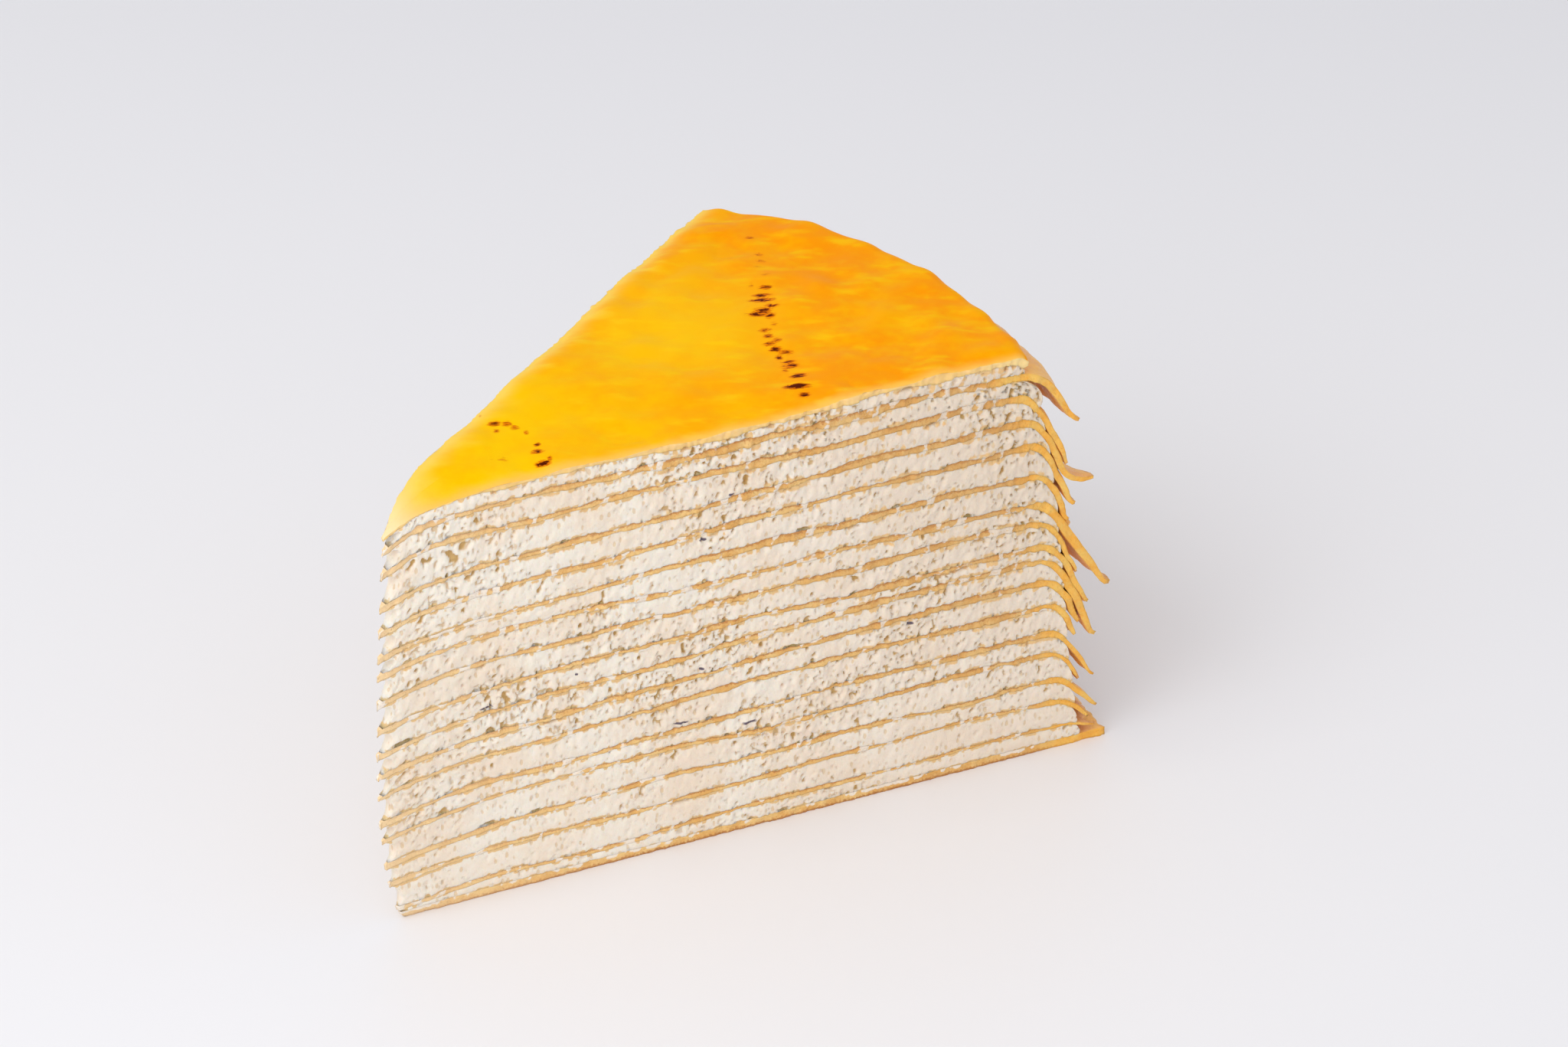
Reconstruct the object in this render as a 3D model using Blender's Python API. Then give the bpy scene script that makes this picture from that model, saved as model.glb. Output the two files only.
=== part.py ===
"""A slice of mille crepe cake: thin pancakes stacked with whipped cream, cut as a wedge.

All the crepes come from one pan, so each reaches the same length from the middle of the cake.
The cream ends short of them, further in towards the top, and the free edges hang down over the
side like shingles. The wedge's middle line runs along +X, from the tip to the rim, and the
origin is under the middle of the slice's bounding box. Metres, +Z up.
"""

from math import cos, exp, pi, radians, sin

import bmesh
import bpy
import numpy as np

MM = 0.001

# The wedge
SLICE_ANGLE = radians(40.5)
PAN_RADIUS = 104.5 * MM
NOSE = 2.8 * MM  # how far the tip bulges past the true corner, most at a third of the height
NOSE_REACH = 12 * MM
NOSE_POWER = 0.6
TIP_WIDTH = 0.5 * MM
FAR_SINK = 0.016  # share of its height that the stack loses at the rim's far corner
FAR_DOME = 0.012  # share of its height that it gains halfway along the far cut
CREAM_TIP_SETBACK = 1.0 * MM

# The crepes
CREPE = 0.8 * MM
BASE_CREPE = 1.2 * MM
TOP_CREPE = 1.0 * MM
EDGE_SHARE = 0.6  # of the thickness, left at a crepe's outer edge
GAP = 0.3 * MM  # clearance between two layers

# The room between each crepe and the next, from the bottom up, in millimetres:
# near the tip, and near the rim
TIP_ROOM = (1.2, 4.0, 3.1, 3.5, 1.8, 3.4, 2.4, 2.3, 3.0, 3.2, 3.2, 1.9, 2.9, 3.0, 4.0, 2.7, 1.4)
RIM_ROOM = (2.1, 3.3, 2.6, 3.6, 2.7, 3.8, 3.0, 2.7, 1.2, 3.0, 2.4, 3.8, 3.8, 3.1, 3.1, 2.8, 1.5)
TIP_STATION = 20 * MM
RIM_STATION = 80 * MM

# The sag of the tip
TIP_SAG = 2.4 * MM
TIP_SAG_REACH = 8 * MM
FULL_SAG_HEIGHT = 12 * MM

# The side: the cream's end, which steps in with height and rounds over at the top
CREAM_RADIUS = 100.8 * MM
SIDE_LEAN = 0.13
SHOULDER = 3.3 * MM
SHOULDER_POWER = 6
CREAM_NOSE = 1.2 * MM  # the rounded end of a cream layer
CREAM_NOSE_SHARE = 0.45

# The hanging edges: they hang steeper the higher they are, apart from the flared ones
BEND_START = 5.5 * MM  # inside the cream's end
BEND_LENGTH = 7 * MM
HANG_HEIGHTS = (2, 4, 8, 16, 30, 57)  # millimetres above the base
HANG_DEGREES = (0, 14, 32, 43, 45, 58)
FLARED = {17: radians(40), 10: radians(40)}
EDGE_WAVE = 1.1 * MM
WAVE_TURNS = 1.3
LAYER_PHASE = 2.4  # radians from one crepe's wave to the next one's

# The top crepe's short lip, which starts further out away from the near cut
LIP_RADIUS = 87.8 * MM
LIP_SWING = 4.3 * MM
LIP_SWING_TURN = 0.72  # half-waves from cut to cut
LIP_BEND = 4 * MM
LIP_ANGLE = radians(75)
LIP_LENGTH = 6.4 * MM

# The fineness of the mesh
AZIMUTH_STEPS = 5
FLAT_STATIONS = (0.0, 3.5, 8.0, 13.0, 20.0, 50.0, 80.0)  # millimetres from the middle
BEND_STATIONS = (0.0, 0.3, 0.6, 0.9)  # shares of the bend's length
CREAM_BEND_STATIONS = 4
LINE_STEP = 0.25 * MM

COLOURS = {
    "caramel_top": (0.93, 0.42, 0.02, 1),
    "crepe": (0.80, 0.52, 0.22, 1),
    "cream": (0.86, 0.80, 0.68, 1),
}
ROUGHNESS = {"caramel_top": 0.25, "crepe": 0.5, "cream": 0.55}

CREPES = len(TIP_ROOM) + 1


def clear_scene():
    for obj in list(bpy.data.objects):
        bpy.data.objects.remove(obj, do_unlink=True)


def make_material(name):
    material = bpy.data.materials.new(name)
    material.use_nodes = True
    shader = material.node_tree.nodes["Principled BSDF"]
    shader.inputs["Base Color"].default_value = COLOURS[name]
    shader.inputs["Roughness"].default_value = ROUGHNESS[name]
    shader.inputs["Metallic"].default_value = 0.0
    return material


def thickness(layer):
    return {1: BASE_CREPE, CREPES: TOP_CREPE}.get(layer, CREPE)


def across(azimuth):
    """From 0 at the near cut to 1 at the far one."""
    return azimuth / SLICE_ANGLE + 0.5


def middle_heights(rooms):
    """The height of every crepe's middle, bottom first, for one list of rooms."""
    heights = [thickness(1) / 2]
    for layer, room in enumerate(rooms, start=1):
        step = thickness(layer) / 2 + room * MM + thickness(layer + 1) / 2
        heights.append(heights[-1] + step)
    return heights


TIP_HEIGHTS = middle_heights(TIP_ROOM)
RIM_HEIGHTS = middle_heights(RIM_ROOM)


def tip_sag(radius, height):
    """How far the tip sags: not at all in the crepe that lies flat on its plate."""
    share = min(1.0, (height - BASE_CREPE / 2) / FULL_SAG_HEIGHT)
    return TIP_SAG * share * exp(-radius / TIP_SAG_REACH)


def flat_height(layer, radius):
    """A crepe's middle, where it lies between two layers of cream."""
    low, high = TIP_HEIGHTS[layer - 1], RIM_HEIGHTS[layer - 1]
    along = (radius - TIP_STATION) / (RIM_STATION - TIP_STATION)
    height = low + (high - low) * min(max(along, 0.0), 1.0)
    return height - tip_sag(radius, height)


def cream_end(height):
    """The radius at which the cream ends, for a height above the base."""
    share = height / RIM_HEIGHTS[-1]
    return CREAM_RADIUS - SIDE_LEAN * height - SHOULDER * share**SHOULDER_POWER


def bend_radius(layer, azimuth):
    if layer == CREPES:
        return LIP_RADIUS + LIP_SWING * sin(pi * LIP_SWING_TURN * across(azimuth))
    return cream_end(RIM_HEIGHTS[layer - 1]) - BEND_START


def bend_length(layer):
    return LIP_BEND if layer == CREPES else BEND_LENGTH


def hang_angle(layer):
    """How steeply a crepe's free edge hangs."""
    if layer == CREPES:
        return LIP_ANGLE
    usual = np.interp(RIM_HEIGHTS[layer - 1] / MM, HANG_HEIGHTS, HANG_DEGREES)
    return FLARED.get(layer, radians(usual))


def free_length(layer, azimuth):
    """How far a crepe runs on past the start of its bend, with a wavy edge."""
    full = LIP_LENGTH if layer == CREPES else PAN_RADIUS - bend_radius(layer, azimuth)
    if layer == 1:
        return full
    turn = across(azimuth) * 2 * pi * WAVE_TURNS
    return full + EDGE_WAVE * (sin(turn + layer * LAYER_PHASE) - 1)


def smooth_step(share):
    share = min(max(share, 0.0), 1.0)
    return share * share * (3 - 2 * share)


def free_line(layer, azimuth, length):
    """Radius, height and slope along a crepe's free edge, in even steps of its length."""
    radius = bend_radius(layer, azimuth)
    height = flat_height(layer, radius)
    line = [(radius, height, 0.0)]
    steps = int(length / LINE_STEP)
    for step in range(1, steps + 1):
        slope = hang_angle(layer) * smooth_step(step * LINE_STEP / bend_length(layer))
        radius += LINE_STEP * cos(slope)
        height -= LINE_STEP * sin(slope)
        line.append((radius, height, slope))
    return line


def on_free_line(line, distance):
    spot = min(int(round(distance / LINE_STEP)), len(line) - 1)
    return line[spot]


def offset(point, distance):
    """A point moved square to the crepe, up for a positive distance."""
    radius, height, slope = point
    return radius + distance * sin(slope), height + distance * cos(slope)


def crepe_section(layer, azimuth):
    """The upper and lower outline of a crepe, as (radius, height), from the tip outward."""
    half = thickness(layer) / 2
    spots = [(r * MM, flat_height(layer, r * MM), 0.0) for r in FLAT_STATIONS]
    line = free_line(layer, azimuth, free_length(layer, azimuth))
    spots += [on_free_line(line, share * bend_length(layer)) for share in BEND_STATIONS]
    halves = [half] * len(spots)
    spots.append(line[-1])
    halves.append(half if layer == 1 else half * EDGE_SHARE)
    upper = [offset(spot, h) for spot, h in zip(spots, halves)]
    lower = [offset(spot, -h) for spot, h in zip(spots, halves)]
    return upper, lower


def face_height(layer, radius, azimuth, side):
    """The height of a crepe's upper (side 1) or lower (side -1) face, with the clearance."""
    away = side * (thickness(layer) / 2 + GAP)
    if radius < bend_radius(layer, azimuth):
        return flat_height(layer, radius) + away
    line = [offset(point, away) for point in free_line(layer, azimuth, 2 * BEND_LENGTH)]
    radii, heights = zip(*line)
    return float(np.interp(radius, radii, heights))


def cream_section(layer, azimuth):
    """The upper and lower outline of the cream on a crepe, from the tip outward."""
    end = cream_end((RIM_HEIGHTS[layer - 1] + RIM_HEIGHTS[layer]) / 2)
    bend = bend_radius(layer, azimuth)
    radii = [max(r * MM, CREAM_TIP_SETBACK) for r in FLAT_STATIONS]
    radii += list(np.linspace(bend, end - CREAM_NOSE, CREAM_BEND_STATIONS))
    lower = [(r, face_height(layer, r, azimuth, 1)) for r in radii]
    upper = [(r, face_height(layer + 1, r, azimuth, -1)) for r in radii]
    bottom = face_height(layer, end, azimuth, 1)
    top = face_height(layer + 1, end, azimuth, -1)
    inset = (top - bottom) * (1 - CREAM_NOSE_SHARE) / 2
    lower.append((end, bottom + inset))
    upper.append((end, top - inset))
    return upper, lower


def place(radius, azimuth, height):
    """A point of the wedge, with its bulging tip and its uneven far side."""
    level = min(max(height / RIM_HEIGHTS[-1], 0.0), 1.0)
    push = NOSE * sin(pi * level**NOSE_POWER) * max(0.0, 1 - radius / NOSE_REACH)
    reach = max(radius, TIP_WIDTH)
    share = min(1.0, radius / RIM_STATION)
    sink = across(azimuth) * (FAR_SINK * share**3 - FAR_DOME * sin(pi * share))
    return reach * cos(azimuth) - push, reach * sin(azimuth), height * (1 - sink)


def bridge(bm, first, second):
    """The quads between two rows: they face up if the rows run to +X and the second is on +Y."""
    for (a, b), (c, d) in zip(zip(first, first[1:]), zip(second, second[1:])):
        bm.faces.new((a, b, d, c))


def loft(sections):
    """A closed mesh through (azimuth, upper outline, lower outline) sections."""
    bm = bmesh.new()
    rows = []
    for azimuth, upper, lower in sections:
        tops = [bm.verts.new(place(r, azimuth, z)) for r, z in upper]
        bottoms = [bm.verts.new(place(r, azimuth, z)) for r, z in lower]
        rows.append((tops, bottoms))
    for (tops, bottoms), (next_tops, next_bottoms) in zip(rows, rows[1:]):
        bridge(bm, tops, next_tops)
        bridge(bm, next_bottoms, bottoms)
        bridge(bm, (tops[0], next_tops[0]), (bottoms[0], next_bottoms[0]))
        bridge(bm, (bottoms[-1], next_bottoms[-1]), (tops[-1], next_tops[-1]))
    bridge(bm, rows[0][1], rows[0][0])
    bridge(bm, rows[-1][0], rows[-1][1])
    return bm


def make_layer(kind, number, section, material, parent):
    name = f"{kind}_{number:02d}"
    azimuths = np.linspace(-SLICE_ANGLE / 2, SLICE_ANGLE / 2, AZIMUTH_STEPS + 1)
    bm = loft([(azimuth, *section(number, azimuth)) for azimuth in azimuths])
    mesh = bpy.data.meshes.new(name)
    bm.to_mesh(mesh)
    bm.free()
    mesh.materials.append(material)
    mesh.shade_smooth()
    mesh.set_sharp_from_angle(angle=radians(35))
    layer = bpy.data.objects.new(name, mesh)
    layer.parent = parent
    bpy.context.collection.objects.link(layer)
    return layer


def make_stack(parent):
    slots = {name: make_material(name) for name in COLOURS}
    layers = []
    for number in range(1, CREPES + 1):
        slot = slots["caramel_top"] if number == CREPES else slots["crepe"]
        layers.append(make_layer("crepe", number, crepe_section, slot, parent))
    for number in range(1, CREPES):
        layers.append(make_layer("cream", number, cream_section, slots["cream"], parent))
    return layers


def centre_on_box(parent, layers):
    """Moves the slice so that the origin is under the middle of its bounding box."""
    points = np.array([vertex.co[:] for layer in layers for vertex in layer.data.vertices])
    low, high = points.min(axis=0), points.max(axis=0)
    parent.location = (-(low[0] + high[0]) / 2, -(low[1] + high[1]) / 2, -low[2])


def main():
    clear_scene()
    slice_middle = bpy.data.objects.new("slice_middle", None)
    bpy.context.collection.objects.link(slice_middle)
    layers = make_stack(slice_middle)
    centre_on_box(slice_middle, layers)
    bpy.context.view_layer.update()


main()
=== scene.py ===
from math import cos, pi, radians, sin

import bpy
import numpy as np
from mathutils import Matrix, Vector


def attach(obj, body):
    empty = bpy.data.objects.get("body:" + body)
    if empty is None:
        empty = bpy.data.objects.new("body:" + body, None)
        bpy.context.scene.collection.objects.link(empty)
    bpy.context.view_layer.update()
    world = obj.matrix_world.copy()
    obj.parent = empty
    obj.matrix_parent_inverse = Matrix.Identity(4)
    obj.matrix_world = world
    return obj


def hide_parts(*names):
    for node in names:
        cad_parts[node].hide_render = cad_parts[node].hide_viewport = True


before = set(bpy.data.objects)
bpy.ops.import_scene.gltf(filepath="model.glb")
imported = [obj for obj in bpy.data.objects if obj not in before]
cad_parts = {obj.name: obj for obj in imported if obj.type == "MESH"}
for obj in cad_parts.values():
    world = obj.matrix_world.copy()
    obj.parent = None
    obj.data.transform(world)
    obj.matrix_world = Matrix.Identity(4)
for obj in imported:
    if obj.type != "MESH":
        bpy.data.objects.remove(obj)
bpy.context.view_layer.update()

# The looks of a slice of crepe cake. Every crepe and every layer of cream is one closed piece.
# Its two cut faces are fine grids with the knife's relief in them, and a crepe and the cream that
# touches it follow the same wavy border. The crepes' free edges are draped down over the side,
# from the lowest one up, each resting on the one below.

MM = 0.001

# The wedge
SLICE_ANGLE = radians(40.5)
HALF_ANGLE = SLICE_ANGLE / 2
NOSE = 3.4 * MM
NOSE_REACH = 12 * MM
NOSE_POWER = 0.6
TIP_WIDTH = 0.5 * MM
FAR_SINK = 0.016
FAR_DOME = 0.012
TIP_STATION = 20 * MM
RIM_STATION = 80 * MM
TIP_SAG = 2.4 * MM
TIP_SAG_REACH = 8 * MM
PINCH_REACH = 6 * MM  # where the lowest cream thins out towards the tip
TIP_DOME = 2.6 * MM
TIP_DOME_REACH = 9 * MM
TIP_ROUND = 1.2 * MM
TIP_ROUND_REACH = 3 * MM
TIP_SHAPE_POWER = 3
FULL_SAG_HEIGHT = 12 * MM

# The side
CREAM_RADIUS = 99.5 * MM
SIDE_LEAN = 0.105
SHOULDER = 3.8 * MM
SHOULDER_POWER = 9
BEND_START = 3.8 * MM
BEND_LENGTH = 5.5 * MM
COVERED = 4.8 * MM  # how far past the start of the bend the cream reaches along a crepe
HANG_HEIGHTS = (2, 4, 8, 16, 30, 57)
HANG_DEGREES = (0, 16, 40, 55, 62, 65)
EDGE_WAVE = 1.1 * MM
WAVE_TURNS = 1.3
LAYER_PHASE = 2.4
UNDER_TOP_COVER = 1.2 * MM  # how much sooner the cream leaves the crepe under the top one,
UNDER_TOP_BEND = 2.5 * MM  # and how far past that place this crepe starts to bend,
UNDER_TOP_ARC = 9.0 * MM  # over a longer way and less steeply than the others
UNDER_TOP_HANG = radians(58)
LIP_RADIUS = 88.7 * MM
SWING = 4.3 * MM  # how much further out the top reaches in the middle than at the near cut
SWING_TURN = 0.72
SWING_POWER = 6
LIP_BEND = 2.6 * MM
LIP_ANGLE = radians(86)
LIP_LENGTH = 3.3 * MM

# The fineness of the meshes
FLAT_COLUMNS = 396
COVERED_COLUMNS = 24
CREPE_ROWS = 4
CREAM_ROW = 0.26 * MM
FLAP_STEP = 0.35 * MM
RIM_STEPS = 140
RIM_CROWDING = 1.25  # closer together towards the cuts
CREAM_END_STEPS = 62
LINE_STEP = 0.05 * MM
FIRST_FREE = FLAT_COLUMNS + COVERED_COLUMNS  # the column where a crepe's free part starts


# The frame's layers

def node_points(node):
    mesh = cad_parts[node].data
    points = np.empty(len(mesh.vertices) * 3, np.float32)
    mesh.vertices.foreach_get("co", points)
    return points.reshape(-1, 3).astype(float)


def crepe_node(layer):
    return f"crepe_{layer + 1:02d}"


CREPES = sum(name.startswith("crepe_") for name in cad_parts)
TOP = CREPES - 1

base_points = node_points(crepe_node(0))
far_corner = base_points[base_points[:, 1].argmax()]
near_corner = base_points[base_points[:, 1].argmin()]
PAN_RADIUS = (far_corner[1] - near_corner[1]) / 2 / sin(HALF_ANGLE)
TIP_X = far_corner[0] - PAN_RADIUS * cos(HALF_ANGLE)
TIP_Y = (far_corner[1] + near_corner[1]) / 2


def layer_on_cut(layer, station):
    """The lowest and highest point of a crepe on the near cut, at its corners by one station."""
    points = node_points(crepe_node(layer)) - (TIP_X, TIP_Y, 0)
    if layer == 0:  # it lies flat on the plate
        return points[:, 2].min(), points[:, 2].max()
    on_cut = np.abs(np.arctan2(points[:, 1], points[:, 0]) + HALF_ANGLE) < 1e-3
    away = np.abs(np.hypot(points[:, 0], points[:, 1]) - station)
    heights = points[on_cut & (away < away[on_cut].min() + 0.1 * MM), 2]
    return heights.min(), heights.max()


TIP_HEIGHTS = np.array([np.mean(layer_on_cut(k, TIP_STATION)) for k in range(CREPES)])
RIM_HEIGHTS = np.array([np.mean(layer_on_cut(k, RIM_STATION)) for k in range(CREPES)])
THICKNESS = np.array([np.ptp(layer_on_cut(k, TIP_STATION)) for k in range(CREPES)])


def across(azimuth):
    """From 0 at the near cut to 1 at the far one."""
    return azimuth / SLICE_ANGLE + 0.5


def ease(share):
    share = np.clip(share, 0, 1)
    return share * share * (3 - 2 * share)


def flat_height(layer, radius):
    """The height of a crepe's middle where it lies between two layers of cream."""
    low, high = TIP_HEIGHTS[layer], RIM_HEIGHTS[layer]
    along = np.clip((radius - TIP_STATION) / (RIM_STATION - TIP_STATION), 0, 1)
    height = low + (high - low) * along
    share = np.minimum(1, (height - TIP_HEIGHTS[0]) / FULL_SAG_HEIGHT)
    height = height - TIP_SAG * share * np.exp(-radius / TIP_SAG_REACH)
    if layer == 1:
        pinch = np.exp(-((radius / PINCH_REACH) ** 2))
        height = height + (THICKNESS[0] + THICKNESS[1] / 2 + 0.25 * MM - height) * pinch
    return height


def cream_end(height):
    share = height / RIM_HEIGHTS[TOP]
    return CREAM_RADIUS - SIDE_LEAN * height - SHOULDER * share**SHOULDER_POWER


def swing(layer, azimuth):
    """How much further out a layer reaches at an azimuth than at the near cut."""
    share = RIM_HEIGHTS[layer] / RIM_HEIGHTS[TOP]
    return SWING * share**SWING_POWER * np.sin(pi * SWING_TURN * across(azimuth))


def cover_start(layer, azimuth):
    """The distance from the tip at which a crepe nears the cream's end."""
    start = cream_end(RIM_HEIGHTS[layer]) - BEND_START + swing(layer, azimuth)
    return start - UNDER_TOP_COVER if layer == TOP - 1 else start


def bend_radius(layer, azimuth):
    if layer == TOP:
        return LIP_RADIUS + swing(TOP, azimuth)
    if layer == TOP - 1:
        return cover_start(layer, azimuth) + UNDER_TOP_BEND
    return cover_start(layer, azimuth)


def hang_angle(layer):
    if layer == TOP:
        return LIP_ANGLE
    if layer == TOP - 1:
        return UNDER_TOP_HANG
    return radians(np.interp(RIM_HEIGHTS[layer] / MM, HANG_HEIGHTS, HANG_DEGREES))


def whole_length(layer, azimuth):
    """The length of a crepe from the middle of the cake to its edge, along the crepe."""
    full = bend_radius(layer, azimuth) + LIP_LENGTH if layer == TOP else PAN_RADIUS
    if layer == 0:
        return full + 0 * azimuth
    turn = across(azimuth) * 2 * pi * WAVE_TURNS
    return full + EDGE_WAVE * (np.sin(turn + (layer + 1) * LAYER_PHASE) - 1)


def bend_table(layer):
    """Along a crepe from the start of its bend: the distance, the way out, the drop, the slope."""
    along = np.arange(0, 2.5 * BEND_LENGTH, LINE_STEP)
    length = {TOP: LIP_BEND, TOP - 1: UNDER_TOP_ARC}.get(layer, BEND_LENGTH)
    slope = hang_angle(layer) * ease(along / length)
    out = np.concatenate([[0], np.cumsum(np.cos(slope[1:]))]) * LINE_STEP
    drop = np.concatenate([[0], np.cumsum(np.sin(slope[1:]))]) * LINE_STEP
    return along, out, drop, slope


BEND_TABLES = [bend_table(layer) for layer in range(CREPES)]


def place(radius, azimuth, height):
    """Points in the frame, with the wedge's bulging tip and its uneven far side."""
    level = np.clip(height / RIM_HEIGHTS[TOP], 0, 1)
    push = NOSE * np.sin(pi * level**NOSE_POWER) * np.clip(1 - radius / NOSE_REACH, 0, None)
    reach = np.maximum(radius, TIP_WIDTH)
    share = np.minimum(radius / RIM_STATION, 1)
    sink = across(azimuth) * (FAR_SINK * share**3 - FAR_DOME * np.sin(pi * share))
    out = radius / TIP_DOME_REACH
    dome = TIP_DOME * (0.3 + 0.7 * across(azimuth)) * (out * np.exp(1 - out)) ** 1.5
    rounding = TIP_ROUND * np.exp(-((radius / TIP_ROUND_REACH) ** 2))
    x = TIP_X + reach * np.cos(azimuth) - push
    y = TIP_Y + reach * np.sin(azimuth)
    z = height * (1 - sink) + (dome - rounding) * level**TIP_SHAPE_POWER
    return np.stack(np.broadcast_arrays(x, y, z), axis=-1)


# Noise

def smooth_noise(seed, shape, spread, lean=0.0):
    """Noise with mean 0 and deviation 1 on a grid, smoothed over so many steps each way.

    With a lean, the first spread runs at that angle from the first axis to the second.
    """
    rng = np.random.default_rng(seed)
    turns = np.meshgrid(*(np.fft.fftfreq(count) for count in shape), indexing="ij")
    if lean:
        turns = (
            turns[0] * cos(lean) + turns[1] * sin(lean),
            turns[1] * cos(lean) - turns[0] * sin(lean),
        )
    weight = sum((pi * turn * steps) ** 2 for turn, steps in zip(turns, spread))
    noise = np.fft.ifftn(np.fft.fftn(rng.standard_normal(shape)) * np.exp(-2 * weight)).real
    return (noise - noise.mean()) / noise.std()


class Map:
    """A field of values over an area, read at any place by interpolation."""

    def __init__(self, field, step, low=(0.0, 0.0)):
        self.field = field
        self.step = step
        self.low = low

    def at(self, first, second):
        a = np.clip((first - self.low[0]) / self.step, 0, self.field.shape[0] - 1.001)
        b = np.clip((second - self.low[1]) / self.step, 0, self.field.shape[1] - 1.001)
        i, j = a.astype(int), b.astype(int)
        u, v = a - i, b - j
        f = self.field
        near = f[i, j] * (1 - v) + f[i, j + 1] * v
        far = f[i + 1, j] * (1 - v) + f[i + 1, j + 1] * v
        return near * (1 - u) + far * u


# How the crepes wander up and down and change in thickness, over the plan of the cake
PLAN_STEP = 0.5 * MM
PLAN_SHAPE = (232, 176)
PLAN_LOW = (-4 * MM, -44 * MM)
WANDER = 0.17 * MM
WANDER_SPREAD = 9  # map steps
RIPPLE = 0.05 * MM
RIPPLE_SPREAD = 2.2
CRUMBLE = 0.05 * MM  # the finest unevenness of a crepe's faces
CRUMBLE_SPREAD = 0.7
TOP_RIPPLE = 0.35  # the top is this much less rippled
THICK_SPREAD = 3.0
THICK_SWING = 0.24


def plan_map(seed, spread):
    return Map(smooth_noise(seed, PLAN_SHAPE, (spread, spread)), PLAN_STEP, PLAN_LOW)


wander_maps = [plan_map(100 + layer, WANDER_SPREAD) for layer in range(CREPES)]
ripple_maps = [plan_map(200 + layer, RIPPLE_SPREAD) for layer in range(CREPES)]
thick_maps = [plan_map(300 + layer, THICK_SPREAD) for layer in range(CREPES)]
crumble_maps = [plan_map(350 + layer, CRUMBLE_SPREAD) for layer in range(CREPES)]


def wander(layer, radius, azimuth):
    """How far a crepe lies above its even height: not at all in the one on the plate."""
    if layer == 0:
        return 0 * radius
    x, y = radius * np.cos(azimuth), radius * np.sin(azimuth)
    ripple = RIPPLE * (TOP_RIPPLE if layer == TOP else 1)
    waves = WANDER * wander_maps[layer].at(x, y) + ripple * ripple_maps[layer].at(x, y)
    return waves * ease(radius / TIP_STATION + 0.3)


def half_thickness(layer, radius, azimuth):
    """Half a crepe's thickness: uneven, and thinner towards the tip and in the lower layers."""
    x, y = radius * np.cos(azimuth), radius * np.sin(azimuth)
    uneven = 1 + THICK_SWING * np.clip(thick_maps[layer].at(x, y), -2, 2)
    if layer == 0:
        return THICKNESS[0] / 2 * (1 + 0 * uneven)
    rimward = np.clip(radius / RIM_STATION, 0, 1)
    upward = RIM_HEIGHTS[layer] / RIM_HEIGHTS[TOP]
    crumbs = CRUMBLE * np.clip(crumble_maps[layer].at(x, y), -2, 2) * (layer < TOP)
    swell = LEDGE_SWELL * np.exp(-((radius / LEDGE) ** 2))
    return THICKNESS[layer] / 2 * uneven * (0.68 + 0.7 * rimward * upward) + crumbs + swell


def crepe_line(layer, along, azimuth):
    """Radius, height and slope of a crepe's middle, at a distance along it from the tip."""
    bend = bend_radius(layer, azimuth)
    flat = np.minimum(along, bend)
    past = np.maximum(along - bend, 0)
    distance, out, drop, slope = BEND_TABLES[layer]
    radius = flat + np.interp(past, distance, out)
    height = flat_height(layer, flat) - np.interp(past, distance, drop)
    height = height + wander(layer, radius, azimuth)
    return radius, height, np.interp(past, distance, slope)


def off_line(point, distance):
    """A point moved square to the crepe, up for a positive distance."""
    radius, height, slope = point
    return radius + distance * np.sin(slope), height + distance * np.cos(slope)


def crepe_face(layer, along, azimuth, side):
    """Radius and height of a crepe's upper (side 1) or lower (side -1) face."""
    line = crepe_line(layer, along, azimuth)
    return off_line(line, side * half_thickness(layer, line[0], azimuth))


def column_place(layer, azimuth, column):
    """How far along a crepe a column of its grid lies; the last one is at the cream's end."""
    flat = cover_start(layer, azimuth) * np.minimum(column / FLAT_COLUMNS, 1)
    return flat + COVERED * np.clip((column - FLAT_COLUMNS) / COVERED_COLUMNS, 0, None)




# The cut faces. The knife came down the cut and dragged the cream with it.

CUT_STEP = 0.1 * MM
CUT_SHAPE = (1080, 680)
DRAG = radians(72)  # the drag marks' angle from level
SMOOTH_BELOW = 16 * MM  # the lowest layers are cut smoother
LUMPS = 0.08 * MM
STREAKS = 0.042 * MM
GRAIN = 0.03 * MM


def pits_from(noise, threshold, softness):
    return ease((noise - threshold) / softness)


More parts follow.
